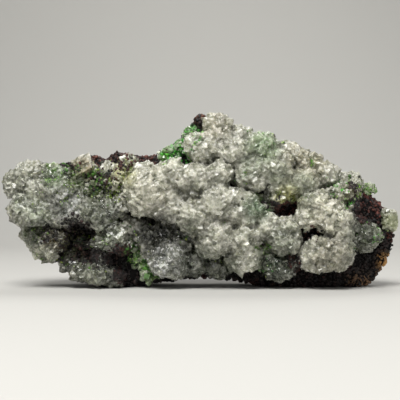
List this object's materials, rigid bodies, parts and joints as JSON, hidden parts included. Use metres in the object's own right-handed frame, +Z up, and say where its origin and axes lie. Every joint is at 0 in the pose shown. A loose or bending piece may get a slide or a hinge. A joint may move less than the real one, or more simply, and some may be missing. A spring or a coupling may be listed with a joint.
{
  "type": "mineral specimen",
  "caption": "Conichalcite and glassy calcite crusts on a broken slab of dark limonite, resting on its flat underside.",
  "frame": {"origin": "under the middle of the specimen's box, in the plane it rests on", "axes": "+X along the specimen's length, to the right seen from the front; -Y out of the crystal-covered front; +Z up"},
  "size_m": [0.1108, 0.0324, 0.0489],
  "materials": {
    "limonite": "dark red-brown to black, granular, earthy",
    "calcite": "glassy, clear to white, coarsely crystalline",
    "conichalcite": "bright green, fine botryoidal, waxy to glassy"
  },
  "bodies": {
    "root": {"limonite_matrix": "limonite", "calcite_centre_mass": "calcite", "calcite_right_mass": "calcite", "calcite_centre_foot": "calcite", "calcite_upper_mass": "calcite", "calcite_right_brow": "calcite", "calcite_left_mass": "calcite", "calcite_crest_cap": "calcite", "calcite_rim_cluster": "calcite", "calcite_left_lower_knob": "calcite", "calcite_left_foot": "calcite", "calcite_lower_left_mass": "calcite", "calcite_sill": "calcite", "calcite_recess": "calcite", "calcite_cream_cluster": "calcite", "calcite_inner_foot": "calcite", "calcite_right_shelf": "calcite", "calcite_right_tip": "calcite", "conichalcite_crest": "conichalcite", "conichalcite_peak_flank": "conichalcite", "conichalcite_left_crest": "conichalcite", "conichalcite_left_gully": "conichalcite", "conichalcite_left_hollow": "conichalcite", "conichalcite_rim_gully": "conichalcite", "conichalcite_cavity_lip": "conichalcite", "conichalcite_foot_rim": "conichalcite", "conichalcite_inner_hollow": "conichalcite", "conichalcite_inner_bowl": "conichalcite", "conichalcite_right_brow": "conichalcite", "conichalcite_right_edge": "conichalcite", "conichalcite_shelf_rim": "conichalcite", "conichalcite_shoulder": "conichalcite"}
  },
  "joints": []
}
